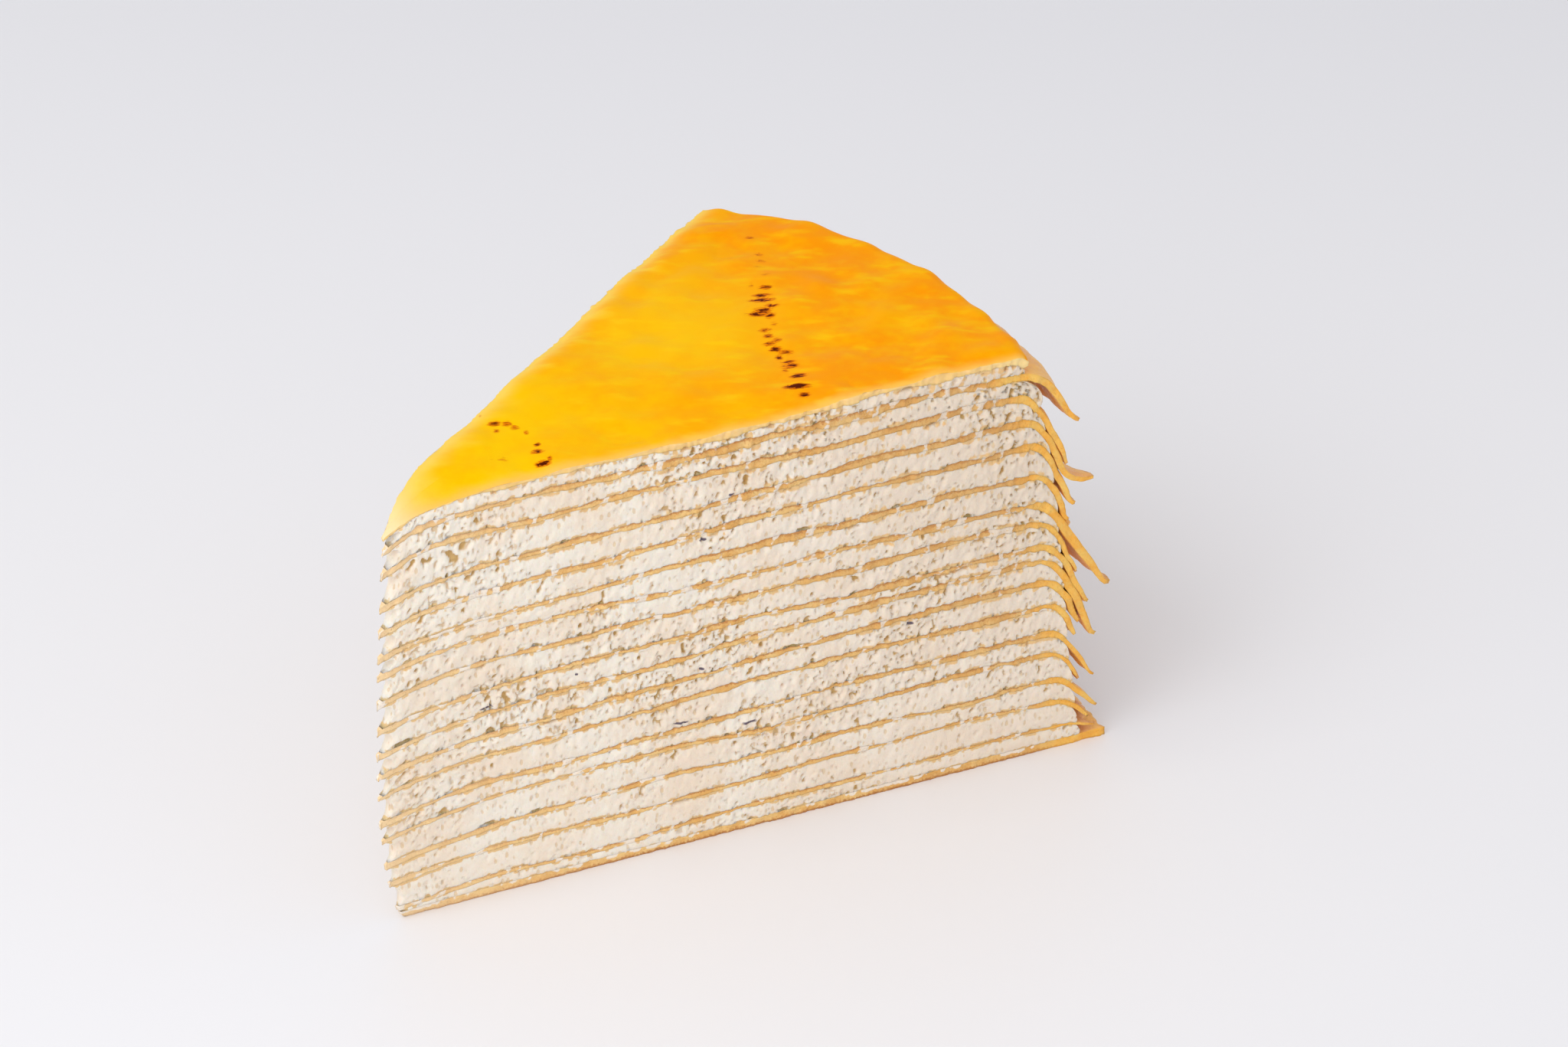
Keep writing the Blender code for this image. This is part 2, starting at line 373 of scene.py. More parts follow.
class Cut:
    """One cut face of the slice: where it is, and maps of its relief, pits and smears."""

    def __init__(self, side, seed):
        self.side = side
        self.azimuth = side * HALF_ANGLE
        self.outward = np.array([-sin(self.azimuth), cos(self.azimuth), 0]) * side
        lean = DRAG if side < 0 else pi - DRAG

        def noise(number, along, wide, angle=lean):
            spread = (along * MM / CUT_STEP, wide * MM / CUT_STEP)
            return smooth_noise(seed + number, CUT_SHAPE, spread, angle)

        heights = np.arange(CUT_SHAPE[1])[None, :] * CUT_STEP
        patches = noise(1, 4.0, 3.0)
        roughness = 0.5 + 0.5 * ease(heights / SMOOTH_BELOW - 0.3)
        roughness = roughness * (0.75 + 0.5 * ease(patches * 0.4 + 0.5))
        outward = np.arange(CUT_SHAPE[0])[:, None] * CUT_STEP / RIM_STATION
        roughness = roughness * (0.75 + 0.45 * ease(outward))
        swell = LUMPS * noise(2, 0.5, 0.3) + STREAKS * noise(3, 0.42, 0.14) + GRAIN * noise(4, 0.14, 0.1)
        self.relief = Map(swell * roughness, CUT_STEP)
        small = pits_from(noise(5, 0.2, 0.14) + 0.35 * patches, 1.35, 0.4)
        large = pits_from(noise(6, 0.36, 0.24) + 0.3 * patches, 1.95, 0.4)
        pits = np.maximum(small * 0.6, large)
        self.pits = Map(pits * (0.3 + 0.7 * roughness), CUT_STEP)
        self.voids = Map(pits_from(noise(11, 0.95, 0.26, 0.0), 2.1, 0.35), CUT_STEP)
        smear = noise(7, 0.8, 0.32) + 0.5 * noise(8, 3.0, 3.0)
        self.smear = Map(ease((smear + 0.3) / 2.6), CUT_STEP)
        stain = noise(9, 0.4, 0.22) + 0.5 * noise(10, 2.0, 2.0)
        self.stain = Map(ease((stain + 0.5) / 1.8), CUT_STEP)

    def point(self, radius, height, relief):
        return place(radius, self.azimuth, height) + relief[..., None] * self.outward


CUTS = (Cut(-1, 1000), Cut(1, 2000))

# Burnt specks the knife left on the near cut: how far from the tip, how high, how long
SPECKS = (
    (12.9, 29.2, 2.2),
    (25.5, 31.1, 0.5),
    (40.3, 19.5, 2.4),
    (43.3, 27.2, 0.8),
    (43.7, 46.9, 1.2),
    (47.8, 52.7, 1.0),
    (50.2, 17.0, 2.4),
    (73.9, 26.2, 1.4),
)
SPECK_HEIGHT = 0.26 * MM


def speck_at(cut, radius, height):
    """How burnt the near cut is at a place, from 0 to 1."""
    burnt = 0 * radius
    if cut.side > 0:
        return burnt
    for out, up, length in SPECKS:
        along = (radius - out * MM) / (length * MM / 2)
        above = (height - up * MM) / SPECK_HEIGHT
        burnt = np.maximum(burnt, np.exp(-(along**4) - above**2))
    return burnt


# Meshes

class Shell:
    """A closed mesh in the making, with named values at its points."""

    def __init__(self):
        self.points = []
        self.values = {}
        self.faces = []
        self.flat_faces = []
        self.count = 0

    def add(self, points, **values):
        """Adds a grid of points and returns their numbers, in the same grid."""
        numbers = np.arange(points[..., 0].size).reshape(points.shape[:-1]) + self.count
        self.points.append(points.reshape(-1, 3))
        for name in set(values) | set(self.values):
            before = self.values.setdefault(name, [np.zeros(self.count)])
            value = np.broadcast_to(values.get(name, 0.0), points.shape[:-1])
            before.append(value.reshape(-1))
        self.count += numbers.size
        return numbers

    def grid(self, numbers, flip=False, flat=False):
        """Quads over a grid, facing the side where its first axis turns left to its second."""
        a, b = numbers[:-1, :-1], numbers[1:, :-1]
        c, d = numbers[1:, 1:], numbers[:-1, 1:]
        corners = (a, d, c, b) if flip else (a, b, c, d)
        quads = np.stack(corners, axis=-1).reshape(-1, 4).tolist()
        self.faces += quads
        self.flat_faces += [flat] * len(quads)

    def polygon(self, numbers, flip=False):
        self.faces.append(list(numbers[::-1] if flip else numbers))
        self.flat_faces.append(True)

    def build(self, name, material):
        mesh = bpy.data.meshes.new(name)
        mesh.from_pydata(np.concatenate(self.points).tolist(), [], self.faces)
        for value_name, parts in self.values.items():
            attribute = mesh.attributes.new(value_name, "FLOAT", "POINT")
            attribute.data.foreach_set("value", np.concatenate(parts).astype(np.float32))
        mesh.shade_smooth()
        mesh.polygons.foreach_set("use_smooth", [not flat for flat in self.flat_faces])
        mesh.materials.append(material)
        mesh.update()
        piece = bpy.data.objects.new(name, mesh)
        bpy.context.scene.collection.objects.link(piece)
        return piece


def stand_for(piece, node):
    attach(piece, "root")
    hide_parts(node)


# The cream

CREAM_BULGE = 0.14 * MM
PIT_DEPTH = 0.6 * MM
VOID_DEPTH = 0.8 * MM
VOID_REACH = 0.5 * MM
BORDER = 0.2 * MM  # over which the relief of crepe or cream grows from their shared border
STAIN_REACH = 0.34 * MM
RIM_STAIN = 1.4  # the crumbs reach this much further into the cream at the upper rim
CLEAR_TIP = 5 * MM  # no pits closer to the tip
CREAM_TIP_SETBACK = 2.8 * MM
SETBACK_REACH = 3.4 * MM
SETBACK_EDGE = 0.4  # this share of it is left where the cream meets a crepe
CREAM_END_BULGE = 0.4 * MM
UNDER_TOP_BULGE = 1.5 * MM


def cream_rows(layer):
    at_tip = TIP_HEIGHTS[layer + 1] - TIP_HEIGHTS[layer]
    at_rim = RIM_HEIGHTS[layer + 1] - RIM_HEIGHTS[layer]
    return max(4, round(max(at_tip, at_rim) / CREAM_ROW))


def cream_section(layer, azimuth, columns, shares):
    """Radius and height of the cream: columns along the layer, and shares from 0 to 1 up it."""
    azimuth, columns = (line[:, None] for line in np.broadcast_arrays(azimuth, columns))
    level = 0.55 + 0.45 * TIP_HEIGHTS[layer] / TIP_HEIGHTS[TOP]
    hollow = SETBACK_EDGE + (1 - SETBACK_EDGE) * np.sin(pi * shares) ** 0.6
    tip = CREAM_TIP_SETBACK * level * hollow
    bulge = UNDER_TOP_BULGE if layer == TOP - 2 else CREAM_END_BULGE
    lower_along = column_place(layer, azimuth, columns) + 0 * shares
    upper_along = column_place(layer + 1, azimuth, columns) + 0 * shares
    lower_along = lower_along + tip * np.exp(-lower_along / SETBACK_REACH)
    upper_along = upper_along + tip * np.exp(-upper_along / SETBACK_REACH)
    low = crepe_face(layer, lower_along, azimuth, 1)
    high = crepe_face(layer + 1, upper_along, azimuth, -1)
    radius = low[0] * (1 - shares) + high[0] * shares
    height = low[1] * (1 - shares) + high[1] * shares
    ending = ease((columns - FLAT_COLUMNS) / COVERED_COLUMNS)
    radius = radius + bulge * ending**2 * np.sin(pi * shares) ** 0.7
    return radius, height, high[1] - low[1]


def cream_face(shell, cut, layer):
    """One cut face of the cream; its numbers run along the layer, then up it."""
    shares = np.linspace(0, 1, cream_rows(layer) + 1)
    columns = np.arange(FIRST_FREE + 1)
    radius, height, room = cream_section(layer, cut.azimuth, columns, shares)
    border_distance = np.minimum(shares, 1 - shares) * room
    inside = ease(border_distance / BORDER)
    pit = cut.pits.at(radius, height) * ease(radius / CLEAR_TIP)
    void = cut.voids.at(radius, height) * np.exp(-((border_distance / VOID_REACH) ** 2))
    relief = cut.relief.at(radius, height) + CREAM_BULGE * np.sin(pi * shares) ** 0.6
    relief = relief - np.maximum(PIT_DEPTH * pit, VOID_DEPTH * void) * inside
    rimward = np.clip(radius / RIM_STATION, 0, 1) * RIM_HEIGHTS[layer] / RIM_HEIGHTS[TOP]
    reach = STAIN_REACH * (1 + RIM_STAIN * rimward)
    stain = cut.stain.at(radius, height) * np.exp(-((border_distance / reach) ** 2))
    points = cut.point(radius, height, relief)
    hollow = np.maximum(pit, void)
    return shell.add(points, pit=hollow, stain=stain, speck=speck_at(cut, radius, height))


def rim_azimuths(steps):
    """Across the slice, closer together towards its cuts."""
    even = np.linspace(-1, 1, steps + 1)
    return HALF_ANGLE * np.sign(even) * (1 - (1 - np.abs(even)) ** RIM_CROWDING)


def make_cream(layer, material):
    shell = Shell()
    near, far = (cream_face(shell, cut, layer) for cut in CUTS)
    shell.grid(near)
    shell.grid(far, flip=True)
    shares = np.linspace(0, 1, near.shape[1])
    azimuths = rim_azimuths(CREAM_END_STEPS)[1:-1]
    radius, height, _ = cream_section(layer, azimuths, FIRST_FREE, shares)
    inner = shell.add(place(radius, azimuths[:, None], height))
    end = np.concatenate([near[-1:], inner, far[-1:]])
    shell.grid(end)
    shell.grid(np.stack([near[0], far[0]], axis=1))
    for row, flip in ((-1, False), (0, True)):
        shell.grid(np.stack([near[:, row], far[:, row]], axis=1), flip=flip, flat=True)
        shell.polygon(end[:, row], flip=flip)
    return shell.build(f"cream_{layer + 1:02d}_whipped", material)


# The crepes

FLAP_WAVE = 0.07 * MM
EDGE_TAPER = 0.55
RAGGED_SLOW = 0.5 * MM
RAGGED_FAST = 0.45 * MM
TOAST_REACH = 1.6 * MM
FREE_FALL = radians(7)  # how much steeper a flap hangs than the crepe where the cream ends
FLARE = radians(16)
SETTLE = 0.35  # how quickly a flap turns to the angle it hangs at, a step
LIP_SETTLE = 0.9
LIP_EDGE_WAVE = 0.35  # the lip's edge is this much less ragged
CREPE_RECESS = 0.05 * MM
SMEAR_RISE = 0.12 * MM
TOP_ROLL = 0.4 * MM
TOP_ROLL_REACH = 0.7 * MM
NEAR_ROLL = 2.4  # times as far on the far cut's side as on the near one's
ENVELOPE_STEP = 0.1 * MM
ENVELOPE_ROWS = 680
# The golden tone towards the side is partly the crepes' baked colour, partly painted glow of light through
# the thin crepe
RIM_GLOW = 7 * MM  # over which the cut strips turn golden towards the side
TIP_FADE = 14 * MM  # over which they get paler towards the tip
LEDGE = 4.5 * MM  # the crepes' bare ends at the tip, quite pale and a little thicker
LEDGE_SWELL = 0.13 * MM

# Where the crepes' corners end at the near cut: how far from the tip and how high, how late
# along the free part the corner heads there, and over what share of the way across
NEAR_ENDS = {
    16: (98.4, 51.8, 0.5, 0.2),
    14: (101.4, 42.2, 0.4, 0.1),
    13: (98.0, 39.3, 0.2, 0.09),
    11: (103.4, 25.6, 0.0, 0.12),
    9: (100.2, 23.0, 0.1, 0.09),
    8: (101.8, 17.7, 0.0, 0.09),
    5: (102.0, 10.9, 0.0, 0.09),
    3: (102.8, 5.6, 0.0, 0.1),
}
CORNER_SLACK = 1.08


def flap_shape(layer):
    """Along and across a crepe's free part: length, steps, flare, corner and start."""
    azimuths = rim_azimuths(RIM_STEPS)
    start_along = cover_start(layer, azimuths) + COVERED
    length = whole_length(layer, azimuths) - start_along
    ragged = RAGGED_SLOW * smooth_noise(400 + layer, (RIM_STEPS + 1,), (5,))
    ragged += RAGGED_FAST * smooth_noise(430 + layer, (RIM_STEPS + 1,), (0.9,))
    if layer in (0, TOP):
        ragged *= LIP_EDGE_WAVE
    start = crepe_line(layer, start_along, azimuths)
    lifted = smooth_noise(490 + layer, (RIM_STEPS + 1,), (3.5,))
    flare = FLARE * ease(lifted * 0.6 - 0.1) * (layer != TOP)
    corner = 0 * azimuths
    if layer in NEAR_ENDS:
        corner = np.exp(-((across(azimuths) / NEAR_ENDS[layer][3]) ** 2))
        out = NEAR_ENDS[layer][0] * MM - start[0][0]
        drop = start[1][0] - NEAR_ENDS[layer][1] * MM
        length = length + (np.hypot(out, drop) * CORNER_SLACK - length) * corner
    length = np.maximum(length + ragged * (1 - corner), 1.0 * MM)
    steps = max(4, round(length.mean() / FLAP_STEP))
    return length, steps, flare, corner, start_along, start


def drape(layer, envelope):
    """Lets a crepe's free part hang down over what lies below it, step by step."""
    length, steps, flare, corner, start_along, start = flap_shape(layer)
    azimuths = rim_azimuths(RIM_STEPS)
    columns = np.arange(RIM_STEPS + 1)
    half = half_thickness(layer, start[0], azimuths)
    shape = (RIM_STEPS + 1, steps + 1)
    radius, height = np.empty(shape), np.empty(shape)
    radius[:, 0], height[:, 0], slope = start
    settle = LIP_SETTLE if layer == TOP else SETTLE
    end_r, end_z, late, _ = NEAR_ENDS.get(layer, (0, 0, 0, 0))
    step = length / steps
    for number in range(1, steps + 1):
        share = number / steps
        here_r, here_z = radius[:, number - 1], height[:, number - 1]
        bent = crepe_line(layer, start_along + step * number, azimuths)[2]
        fall = FREE_FALL * ease(share * 2) * (layer != TOP)
        wanted = bent + fall - flare * ease((share - 0.5) / 0.45)
        towards = np.arctan2(here_z - end_z * MM, np.maximum(end_r * MM - here_r, 0.3 * MM))
        wanted = wanted + (towards - wanted) * corner * ease((share - late) / 0.4)
        slope = slope + (wanted * (layer > 0) - slope) * settle
        next_r = here_r + step * np.cos(slope)
        next_z = here_z - step * np.sin(slope)
        row = np.clip((next_z / ENVELOPE_STEP).astype(int), 0, ENVELOPE_ROWS - 1)
        resting = envelope[row, columns] + half
        next_r = np.where(layer > 0, np.maximum(next_r, resting), next_r)
        floor = THICKNESS[0] + half if layer else height[:, 0]
        next_z = np.maximum(next_z, floor)
        reach = np.hypot(next_r - here_r, next_z - here_z)
        radius[:, number] = here_r + (next_r - here_r) * step / reach
        height[:, number] = here_z + (next_z - here_z) * step / reach
        slope = np.arctan2(here_z - height[:, number], radius[:, number] - here_r)
    return radius, height, length


def raise_envelope(envelope, radius, height):
    """Notes how far out a flap's outer face reaches at each height."""
    fine = np.linspace(0, radius.shape[1] - 1, radius.shape[1] * 8)
    for column in range(radius.shape[0]):
        steps = np.arange(radius.shape[1])
        r = np.interp(fine, steps, radius[column])
        z = np.interp(fine, steps, height[column])
        rows = np.clip((z / ENVELOPE_STEP).astype(int), 0, ENVELOPE_ROWS - 1)
        np.maximum.at(envelope[:, column], rows, r)


def line_slope(radius, height):
    return np.arctan2(-np.gradient(height, axis=1), np.gradient(radius, axis=1))


def cut_distance(radius, azimuth):
    return radius * np.sin(np.clip(HALF_ANGLE - np.abs(azimuth), 0, None))


def top_roll(layer, radius, azimuth):
    """How far the top crepe's upper face rolls down towards its cut edges."""
    if layer != TOP:
        return 0 * radius
    reach = np.where(azimuth > 0, TOP_ROLL_REACH * NEAR_ROLL, TOP_ROLL_REACH)
    drop = np.where(azimuth > 0, TOP_ROLL * NEAR_ROLL / 2, TOP_ROLL)
    return drop * np.exp(-((cut_distance(radius, azimuth) / reach) ** 2))


class Flap:
    """A crepe's free part: its two faces, and how near its edge each point is."""

    def __init__(self, layer, envelope):
        azimuths = rim_azimuths(RIM_STEPS)[:, None]
        radius, height, length = drape(layer, envelope)
        shares = np.linspace(0, 1, radius.shape[1])
        bumps = FLAP_WAVE * smooth_noise(520 + layer, radius.shape, (1.6, 2.2))
        slope = line_slope(radius, height)
        radius, height = off_line((radius, height, slope), bumps * ease(shares * 4) * (layer > 0))
        slope = line_slope(radius, height)
        covered_shares = np.linspace(0, 1, COVERED_COLUMNS + 1)
        covered = cover_start(layer, azimuths) + COVERED * covered_shares
        slope[:, 0] = crepe_line(layer, covered[:, -1], azimuths[:, 0])[2]
        half = half_thickness(layer, radius[:, :1], azimuths)
        thin = half * (1 - EDGE_TAPER * shares**3 * (layer > 0))
        self.azimuths = azimuths
        self.toast = ease(1 - (1 - shares) * length[:, None] / TOAST_REACH)
        self.upper = off_line((radius, height, slope), thin)
        self.upper = self.upper[0], self.upper[1] - top_roll(layer, radius, azimuths)
        self.lower = off_line((radius, height, slope), -thin)
        raise_envelope(envelope, *crepe_face(layer, covered, azimuths, 1))
        raise_envelope(envelope, *self.upper)
        if layer < TOP:
            shares = np.linspace(0, 1, 12)
            radius, height, _ = cream_section(layer, azimuths[:, 0], FIRST_FREE, shares)
            raise_envelope(envelope, radius, height)


def crepe_cut(shell, cut, layer, flap):
    """One cut face of a crepe; its numbers run along the crepe, then up its thickness."""
    shares = np.linspace(0, 1, CREPE_ROWS + 1)
    along = column_place(layer, cut.azimuth, np.arange(FIRST_FREE))
    low = crepe_face(layer, along, cut.azimuth, -1)
    high = crepe_face(layer, along, cut.azimuth, 1)
    high = high[0], high[1] - top_roll(layer, high[0], cut.azimuth)
    rim = 0 if cut.side < 0 else -1
    low_r = np.concatenate([low[0], flap.lower[0][rim]])[:, None]
    low_z = np.concatenate([low[1], flap.lower[1][rim]])[:, None]
    high_r = np.concatenate([high[0], flap.upper[0][rim]])[:, None]
    high_z = np.concatenate([high[1], flap.upper[1][rim]])[:, None]
    radius = low_r + (high_r - low_r) * shares
    height = low_z + (high_z - low_z) * shares
    inside = np.sin(pi * shares)
    column = np.arange(len(low_r))[:, None]
    covered = ease((FLAT_COLUMNS + 0.3 * COVERED_COLUMNS - column) / 18)
    smear = cut.smear.at(radius, height) * covered
    if layer == 0:
        smear = (0.3 + smear) * covered * ease((shares - 0.3) / 0.4)
    relief = cut.relief.at(radius, height)
    relief = relief + (SMEAR_RISE * smear - CREPE_RECESS) * inside
    toast = np.concatenate([0 * along, flap.toast[rim]])[:, None]
    golden = ease((radius - cover_start(layer, cut.azimuth)) / RIM_GLOW + 0.5)
    pale = np.maximum(np.exp(-radius / TIP_FADE), 1.1 * np.exp(-((radius / LEDGE) ** 2)))
    rise = shares if layer else 1 - shares
    points = cut.point(radius, height, relief)
    points[..., 2] = np.maximum(points[..., 2], 0)
    speck = speck_at(cut, radius, height)
    return shell.add(
        points, smear=smear, toast=toast, rise=rise, golden=golden, pale=pale, speck=speck, edge=1.0
    )


def make_crepe(layer, envelope, material):
    shell = Shell()
    flap = Flap(layer, envelope)
    near, far = (crepe_cut(shell, cut, layer, flap) for cut in CUTS)
    shell.grid(near)
    shell.grid(far, flip=True)
    shell.grid(np.stack([near[0], far[0]], axis=1))
    inner = slice(1, -1)
    azimuths = flap.azimuths[inner]
    faces = {}
    for row, (radius, height) in ((-1, flap.upper), (0, flap.lower)):
        points = place(radius[inner], azimuths, height[inner])
        points[..., 2] = np.maximum(points[..., 2], 0)
        middle = shell.add(points, skin=1.0, golden=1.0, toast=flap.toast[inner], rise=float(row < 0))
        faces[row] = np.concatenate([near[None, FIRST_FREE:, row], middle, far[None, FIRST_FREE:, row]])
    shell.grid(faces[-1].T)
    shell.grid(faces[0].T, flip=True)
    edge_shares = np.linspace(0, 1, CREPE_ROWS + 1)[1:-1]
    low = np.stack([flap.lower[0][inner, -1], flap.lower[1][inner, -1]])
    high = np.stack([flap.upper[0][inner, -1], flap.upper[1][inner, -1]])
    edge_r, edge_z = low[..., None] + (high - low)[..., None] * edge_shares
    edge = shell.add(place(edge_r, azimuths, edge_z), skin=0.5, golden=1.0, toast=1.0, rise=0.5)
    between = np.concatenate([near[-1:, 1:-1], edge, far[-1:, 1:-1]])
    shell.grid(np.concatenate([faces[0][:, -1:], between, faces[-1][:, -1:]], axis=1))
    for row, flip in ((-1, False), (0, True)):
        if row == -1 and layer == TOP:
            make_top_face(shell, near, far, faces[-1])
            continue
        ladder = np.stack([near[: FIRST_FREE + 1, row], far[: FIRST_FREE + 1, row]], axis=1)
        shell.grid(ladder, flip=flip, flat=True)
        shell.polygon(faces[row][:, 0], flip=flip)
    name = "top_crepe_caramelised" if layer == TOP else f"crepe_{layer + 1:02d}_baked"
    return shell.build(name, material)


# The marks of the hot iron on the top, in millimetres. Each is a stroke across the row: first
# those of the long row (how far along it, how far to its side, half its length, how burnt).
ROW_START = (5.5 * MM, -17.7 * MM)
ROW_ANGLE = radians(52.8)
ROW_STROKES = (
    (0.6, -0.6, 0.6, 0.8),
    (2.7, 0.1, 1.3, 1.3),
    (5.7, -0.5, 0.8, 1.2),
    (7.8, 0.9, 0.4, 0.6),
    (8.8, 0.1, 0.9, 0.9),
    (10.1, 0.3, 0.8, 0.75),
    (11.6, 1.3, 0.5, 0.8),
    (12.7, 0.2, 0.9, 0.65),
    (13.7, 1.5, 0.7, 0.9),
    (15.2, 2, 0.8, 0.7),
    (15.9, 0.9, 0.6, 0.6),
    (17.3, 1.9, 0.6, 0.7),
    (18.9, 2.1, 0.8, 0.6),
    (20.3, 0.8, 0.5, 0.45),
    (22.4, 0.9, 0.6, 0.9),
    (23.2, 2.4, 1.3, 0.9),
    (24.1, 1.8, 1, 0.9),
    (25.1, 0.4, 0.8, 0.75),
    (27, 1.5, 1.4, 0.95),
    (28.5, 1.3, 1, 0.8),
    (30.6, 0.5, 0.8, 0.8),
    (31.6, 2.4, 0.4, 0.5),
    (34, 0, 0.7, 0.35),
    (36.9, 0.5, 0.8, 0.3),
    (38.8, 0, 0.6, 0.45),
    (41, 0.1, 0.5, 0.55),
    (45.9, 0.6, 0.7, 0.5),
)
# The few beside the tip: where in the frame, half their length, how burnt
SCATTERED_STROKES = (
    (-27.4, 5.1, 0.7, 0.75),
    (-26.2, 4, 0.6, 0.65),
    (-26, 2.7, 0.5, 0.6),
    (-25.6, 1, 0.3, 0.55),
    (-28.3, 3.7, 0.4, 0.55),
    (-27, 8.3, 0.2, 0.4),
    (-26.6, -2.2, 0.4, 0.8),
    (-27.8, -3.5, 0.7, 0.75),
    (-29.1, -6, 0.7, 1.2),
    (-27.9, -6, 0.3, 0.7),
    (-32.2, -1.8, 0.6, 0.5),
    (-33.2, -0.9, 0.3, 0.35),
)
STROKE_REACH = 0.62 * MM


def row_place(x, y):
    """Places along the row's direction and square to it."""
    return x * cos(ROW_ANGLE) + y * sin(ROW_ANGLE), y * cos(ROW_ANGLE) - x * sin(ROW_ANGLE)


def char_at(points):
    """How burnt the top is, before the fine pattern of the marks."""
    along, aside = row_place(points[..., 0], points[..., 1])
    first = row_place(*ROW_START)
    strokes = [(first[0] + u * MM, first[1] + v * MM, half, heat) for u, v, half, heat in ROW_STROKES]
    strokes += [(*row_place(x * MM, y * MM), half, heat) for x, y, half, heat in SCATTERED_STROKES]
    burnt = 0 * along
    for middle, side, half, heat in strokes:
        off = ((along - middle) / STROKE_REACH) ** 2 + ((aside - side) / (1.3 * half * MM)) ** 2
        burnt = np.maximum(burnt, heat * np.exp(-off))
    return burnt


NEAR_PALE = 0.9 * MM
# The pale band along the far cut edge is wider: partly the crepe's paler edge, partly painted highlight on
# the rolled edge
FAR_PALE_AND_HIGHLIGHT = 1.8 * MM
TIP_PALE = 4.4 * MM


def make_top_face(shell, near, far, flap_face):
    """The top's upper face, from the tip to where the lip's own grid starts."""
    azimuths = rim_azimuths(RIM_STEPS)[1:-1, None]
    along = column_place(TOP, azimuths, np.arange(FIRST_FREE)[None, :])
    radius, height = crepe_face(TOP, along, azimuths, 1)
    height = height - top_roll(TOP, radius, azimuths)
    points = place(radius, azimuths, height)
    edge = np.exp(-cut_distance(radius, azimuths) / np.where(azimuths > 0, FAR_PALE_AND_HIGHLIGHT, NEAR_PALE))
    pale = np.exp(-((radius / TIP_PALE) ** 2))
    middle = shell.add(points, skin=1.0, rise=1.0, edge=edge, pale=pale, char=char_at(points))
    whole = np.concatenate([near[None, :FIRST_FREE, -1], middle, far[None, :FIRST_FREE, -1]])
    whole = np.concatenate([whole, flap_face[:, :1]], axis=1)
    shell.grid(whole.T)
    shell.polygon(whole[:, 0])  # closes the rounded tip


# Materials

def tone(red, green, blue):
    """A colour picked on a screen, from 0 to 255, as linear light."""
    def linear(value):
        value = value / 255
        return value / 12.92 if value <= 0.04045 else ((value + 0.055) / 1.055) ** 2.4
    return linear(red), linear(green), linear(blue), 1.0


def add(tree, kind, sockets=None, **settings):
    """A node with its settings and its inputs: a link if given a socket, or else a value."""
    node = tree.nodes.new(kind)
    for name, value in settings.items():
        setattr(node, name, value)
    for name, value in (sockets or {}).items():
        give(tree, node.inputs[name], value)
    return node


def give(tree, socket, value):
    if isinstance(value, bpy.types.NodeSocket):
        tree.links.new(value, socket)
    else:
        socket.default_value = value


def maths(tree, operation, *values):
    return add(tree, "ShaderNodeMath", dict(enumerate(values)), operation=operation).outputs[0]


def mix(tree, factor, first, second):
    node = add(tree, "ShaderNodeMix", data_type="RGBA")
    for number, value in ((0, factor), (6, first), (7, second)):
        give(tree, node.inputs[number], value)
    return node.outputs[2]


def ramp(tree, value, low, high, bottom=0.0, top=1.0):
    """From bottom to top as the value goes from low to high, eased at both ends."""
    sockets = {"Value": value, "From Min": low, "From Max": high, "To Min": bottom, "To Max": top}
    return add(tree, "ShaderNodeMapRange", sockets, interpolation_type="SMOOTHSTEP").outputs[0]


def noise(tree, vector, size, detail=3.0, distortion=0.0):
    """A noise whose features are about this size, in metres."""
    sockets = {"Vector": vector, "Scale": 1 / size, "Detail": detail, "Distortion": distortion}
    return add(tree, "ShaderNodeTexNoise", sockets).outputs["Fac"]


def squeezed(tree, vector, scale, turn=0.0):
    """A place turned about the upright, then squeezed along each axis."""
    turned = add(tree, "ShaderNodeMapping", {"Vector": vector, "Rotation": (0, 0, -turn)})
    return add(tree, "ShaderNodeMapping", {"Vector": turned.outputs[0], "Scale": scale}).outputs[0]


def value_of(tree, name):
    return add(tree, "ShaderNodeAttribute", attribute_name=name).outputs["Fac"]


def object_place(tree):
    return add(tree, "ShaderNodeTexCoord").outputs["Object"]


def new_group(name, inputs, outputs):
    group = bpy.data.node_groups.new(name, "ShaderNodeTree")
    for socket, kind in inputs.items():
        group.interface.new_socket(socket, in_out="INPUT", socket_type="NodeSocket" + kind)
    for socket, kind in outputs.items():
        group.interface.new_socket(socket, in_out="OUTPUT", socket_type="NodeSocket" + kind)
    return group, group.nodes.new("NodeGroupInput").outputs, group.nodes.new("NodeGroupOutput").inputs


def make_crumb_group():
    """The fine grain of something baked or whipped, as a height from 0 to 1."""
    inputs = {"Place": "Vector", "Size": "Float", "Holes": "Float"}
    group, given, result = new_group("fine crumb", inputs, {"Height": "Float"})
    scale = maths(group, "DIVIDE", 1.0, given["Size"])
    sockets = {"Vector": given["Place"], "Scale": scale, "Detail": 4.0}
    grain = add(group, "ShaderNodeTexNoise", sockets).outputs["Fac"]
    sockets = {"Vector": given["Place"], "Scale": scale}
    cells = add(group, "ShaderNodeTexVoronoi", sockets, feature="F1").outputs["Distance"]
    hole = maths(group, "MULTIPLY", ramp(group, cells, 0.35, 0.05), given["Holes"])
    group.links.new(maths(group, "SUBTRACT", grain, hole), result["Height"])
    return group


